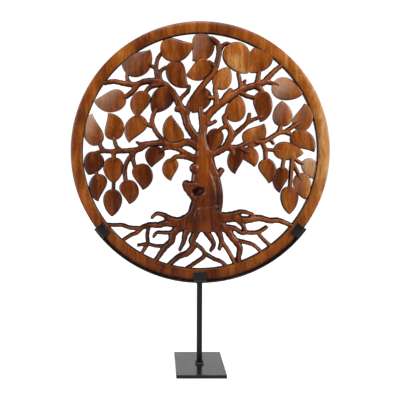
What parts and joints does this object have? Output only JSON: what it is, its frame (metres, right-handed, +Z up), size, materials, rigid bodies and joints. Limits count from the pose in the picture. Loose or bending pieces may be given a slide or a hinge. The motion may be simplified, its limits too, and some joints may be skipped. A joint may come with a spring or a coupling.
{
  "type": "carved wooden tree of life disc on a metal stand",
  "caption": "Round pierced hardwood carving of a spreading leafy tree inside a flat rim, standing in a welded black iron cradle with a square post and base plate.",
  "frame": {"origin": "middle of the base plate's underside, on the surface that the stand rests on", "axes": "+Z up along the post, +X to the right seen from the front, -Y towards the viewer: the carved face looks along -Y"},
  "size_m": [0.4, 0.076, 0.5379],
  "materials": {
    "carved_wood": "satin lacquer",
    "black_iron": "satin",
    "painted_weld": "satin"
  },
  "bodies": {
    "stand": {"base_plate": "black_iron", "post": "black_iron", "cradle_band": "black_iron", "clip_left_front": "black_iron", "clip_left_back": "black_iron", "clip_bottom_front": "black_iron", "clip_bottom_back": "black_iron", "clip_right_front": "black_iron", "clip_right_back": "black_iron", "clip_left_front_weld": "painted_weld", "clip_left_back_weld": "painted_weld", "clip_bottom_front_weld": "painted_weld", "clip_bottom_back_weld": "painted_weld", "clip_right_front_weld": "painted_weld", "clip_right_back_weld": "painted_weld", "post_foot_weld": "painted_weld", "post_head_weld": "painted_weld"},
    "disc": {"carved_disc": "carved_wood"}
  },
  "joints": [
    {"name": "disc_lift", "type": "slide", "parent": "stand", "child": "disc", "axis": [0, 0, 1], "range_m": [0, 0.1]}
  ]
}
